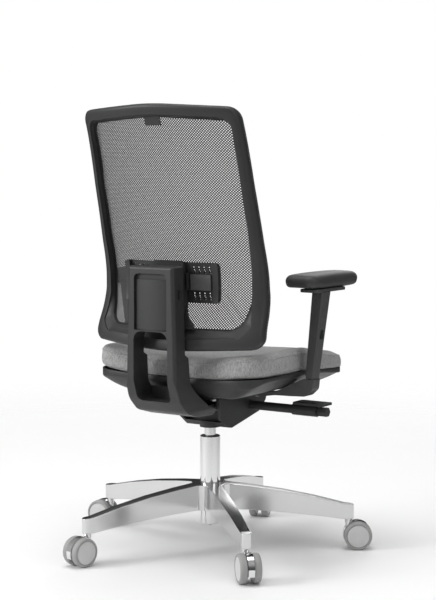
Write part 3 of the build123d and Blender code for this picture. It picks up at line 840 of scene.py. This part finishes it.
def seat_shell():
    """Thin dished shell with an upright rolled rim under the cushion."""
    outline = resampled(rounded_outline(SEAT_CORNERS, 12), 200)
    outline = inset_outline(outline, SEAT_MIDDLE, SHELL_INSET)
    rims = [seat_edges(p.x, p.y)[0] - 0.0006 for p in outline]
    lips = [rim - 0.004 - 0.010 * smooth_share(-p.y, 0.02, 0.26) for p, rim in zip(outline, rims)]
    under = []
    over = []
    for step in range(1, SHELL_STEPS + 1):
        share = (step / SHELL_STEPS) ** 0.8
        ring = [SEAT_MIDDLE.lerp(point, share) for point in outline]
        heights = [min(shell_height(p.x, p.y), lip) for p, lip in zip(ring, lips)]
        under.append([Vector((p.x, p.y, z)) for p, z in zip(ring, heights)])
        over.append([Vector((p.x, p.y, min(z + SHELL_THICKNESS, rim)))
                     for p, z, rim in zip(ring, heights, rims)])
    rim_ring = [Vector((p.x, p.y, rim)) for p, rim in zip(outline, rims)]
    inner_rim = [Vector((p.x, p.y, rim))
                 for p, rim in zip(inset_outline(outline, SEAT_MIDDLE, SHELL_THICKNESS), rims)]
    vertices, faces = bridge_rings(under + [rim_ring, inner_rim] + over[-2::-1], capped=True)
    shell = mesh_piece("seat_shell", vertices, faces, 50)
    add_modifier(shell, "BEVEL", width=0.0020, segments=3, limit_method="ANGLE",
                 angle_limit=math.radians(40))
    bake_modifiers(shell)
    shade(shell, 50)
    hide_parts("seat_pan")
    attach(shell, "seat")
    finish_piece(shell, "shell_black")


# ---- Armrests -------------------------------------------------------------------------------

# Rows of a pad's form: (inset, share of its height)
PAD_ROWS = [(0.034, 0.0), (0.014, 0.0), (0.008, 0.012), (0.0035, 0.10), (0.0010, 0.28), (0.0, 0.50),
            (0.0004, 0.62), (0.0022, 0.76), (0.0056, 0.88), (0.0100, 0.955), (0.0160, 0.99), (0.024, 1.0),
            (0.036, 1.01)]


def pad_outline(inset):
    """Outline of a pad seen from above, drawn in by a distance, its front towards -Y."""
    x = PAD_WIDTH / 2 - inset
    y = PAD_LENGTH / 2 - inset
    rear_radius = max(PAD_LEAST_RADIUS, PAD_REAR_RADIUS - inset)
    front_radius = max(PAD_LEAST_RADIUS, PAD_FRONT_RADIUS - inset)
    corners = [(-x, y, rear_radius), (-x, -y, front_radius), (x, -y, front_radius), (x, y, rear_radius)]
    return resampled(rounded_outline(corners, 10), 120)


def arm_pad(word):
    """Soft pad, thinner towards its ends, with fully rounded edges."""
    low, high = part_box("arm_pad_" + word)
    middle = (low + high) / 2
    rings = []
    for inset, share in PAD_ROWS:
        ring = []
        for point in pad_outline(inset):
            end = abs(point.y) / (PAD_LENGTH / 2)
            under = PAD_LOW + 0.0055 * end ** 4
            top = PAD_HIGH - 0.0035 * end ** 3 - 0.0012 * (abs(point.x) / (PAD_WIDTH / 2)) ** 2
            ring.append(Vector((middle.x + point.x, middle.y + point.y, under + (top - under) * share)))
        rings.append(ring)
    vertices, faces = bridge_rings(rings, capped=True)
    pad = mesh_piece(f"arm_pad_{word}_skin", vertices, faces, 60)
    add_modifier(pad, "SUBSURF", levels=1, render_levels=1)
    bake_modifiers(pad)
    shade(pad, 60)
    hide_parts("arm_pad_" + word)
    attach(pad, "arm_top_" + word)
    finish_piece(pad, "pad_soft")


# ---- Stage ----------------------------------------------------------------------------------

def add_camera():
    """Camera low behind the sitter's right side, with no shift and no roll."""
    azimuth = math.radians(CAMERA_AZIMUTH)
    elevation = math.radians(CAMERA_ELEVATION)
    back = Vector((math.sin(azimuth) * math.cos(elevation),
                   -math.cos(azimuth) * math.cos(elevation),
                   math.sin(elevation)))
    right = Vector((math.cos(azimuth), math.sin(azimuth), 0))
    above = back.cross(right)
    data = bpy.data.cameras.new("camera")
    data.lens = CAMERA_LENS
    data.sensor_width = CAMERA_SENSOR
    camera = link("camera", data)
    turn = Matrix((right, above, back)).transposed().to_4x4()
    camera.matrix_world = Matrix.Translation(CAMERA_PLACE) @ turn
    bpy.context.scene.camera = camera


def add_softbox(name, place, size, power):
    """Rectangular softbox aimed at the chair."""
    data = bpy.data.lights.new(name, "AREA")
    data.shape = "RECTANGLE"
    data.size, data.size_y = size
    data.energy = power
    light = link(name, data)
    light.location = place
    light.rotation_euler = (Vector(place) - LIGHT_TARGET).to_track_quat("Z", "Y").to_euler()


def add_floor():
    """Pale floor that fades into the white surroundings away from the chair."""
    half = FLOOR_HALF
    vertices = [(-half, -half, 0), (half, -half, 0), (half, half, 0), (-half, half, 0)]
    floor = mesh_piece("floor", vertices, [(0, 1, 2, 3)])
    n = Nodes("floor_pale")
    n.bump((n.noise(300, 3), 0.00003))
    pale = n.set(color=n.mixed(n.noise(0.8, 3), (0.88, 0.88, 0.88), (0.92, 0.92, 0.92)),
                 rough=0.7, specular=0.12)
    length = n.add("ShaderNodeVectorMath", operation="LENGTH")
    n.join(n.place, length.inputs[0])
    fade = n.add("ShaderNodeMapRange", interpolation_type="SMOOTHSTEP")
    n.join(length.outputs["Value"], fade.inputs["Value"])
    fade.inputs["From Min"].default_value, fade.inputs["From Max"].default_value = FLOOR_FADE
    mixer = n.add("ShaderNodeMixShader")
    n.join(fade.outputs["Result"], mixer.inputs[0])
    n.join(n.shader.outputs[0], mixer.inputs[1])
    n.join(n.add("ShaderNodeBsdfTransparent").outputs[0], mixer.inputs[2])
    n.join(mixer.outputs[0], n.tree.nodes["Material Output"].inputs["Surface"])
    floor.data.materials.append(pale)


def add_surroundings():
    """White to the camera; to the chair, tall panels with dark gaps under a bright ceiling."""
    world = bpy.data.worlds.new("studio")
    bpy.context.scene.world = world
    world.use_nodes = True
    nodes = world.node_tree.nodes
    links = world.node_tree.links
    coordinates = nodes.new("ShaderNodeTexCoord")
    split = nodes.new("ShaderNodeSeparateXYZ")
    links.new(coordinates.outputs["Generated"], split.inputs[0])

    heading = nodes.new("ShaderNodeMath")
    heading.operation = "ARCTAN2"
    links.new(split.outputs[1], heading.inputs[0])
    links.new(split.outputs[0], heading.inputs[1])
    turns = nodes.new("ShaderNodeMath")
    turns.operation = "MULTIPLY_ADD"
    links.new(heading.outputs[0], turns.inputs[0])
    turns.inputs[1].default_value = 0.5 / math.pi
    turns.inputs[2].default_value = 0.5
    panels = nodes.new("ShaderNodeValToRGB")
    panels.color_ramp.interpolation = "EASE"
    stops = panels.color_ramp.elements
    while len(stops) < len(PANEL_STOPS):
        stops.new(0.5)
    for stop, (position, brightness) in zip(stops, PANEL_STOPS):
        stop.position = position
        stop.color = (brightness, brightness, brightness, 1)
    links.new(turns.outputs[0], panels.inputs[0])

    ceiling = nodes.new("ShaderNodeMapRange")
    ceiling.inputs["From Min"].default_value = 0.35
    ceiling.inputs["From Max"].default_value = 0.75
    links.new(split.outputs[2], ceiling.inputs["Value"])
    joined = nodes.new("ShaderNodeMix")
    joined.data_type = "RGBA"
    links.new(ceiling.outputs["Result"], joined.inputs["Factor"])
    links.new(panels.outputs["Color"], joined.inputs[6])
    joined.inputs[7].default_value = (CEILING_BRIGHTNESS, CEILING_BRIGHTNESS, CEILING_BRIGHTNESS, 1)
    background = nodes["Background"]
    links.new(joined.outputs[2], background.inputs["Color"])
    background.inputs["Strength"].default_value = PANEL_STRENGTH

    backdrop = nodes.new("ShaderNodeBackground")
    backdrop.inputs["Color"].default_value = (1, 1, 1, 1)
    backdrop.inputs["Strength"].default_value = 1.0
    path = nodes.new("ShaderNodeLightPath")
    chooser = nodes.new("ShaderNodeMixShader")
    links.new(path.outputs["Is Camera Ray"], chooser.inputs[0])
    links.new(background.outputs[0], chooser.inputs[1])
    links.new(backdrop.outputs[0], chooser.inputs[2])
    links.new(chooser.outputs[0], nodes["World Output"].inputs["Surface"])


# ---- Build ----------------------------------------------------------------------------------

bpy.context.scene.view_settings.view_transform = "Standard"
add_camera()
add_floor()
add_surroundings()
for name, place, size, power in SOFTBOXES:
    add_softbox(name, place, size, power)

for name, cad_object in frame["nodes"].items():
    cad_object.data.materials.clear()
    cad_object.data.materials.append(MATERIALS[slot_of_node(name)])

for joint in frame["joints"]:
    if joint["name"].startswith("wheel_spin"):
        caster_wheel(joint)

outline_pairs = frame_outlines()
back_frame_ring(outline_pairs)
mesh_sheet = back_mesh_sheet(outline_pairs)

seat_cushion()
seat_shell()
for word in ("left", "right"):
    arm_pad(word)

for node, width in EDGE_RADII.items():
    softened_copy(node, width)
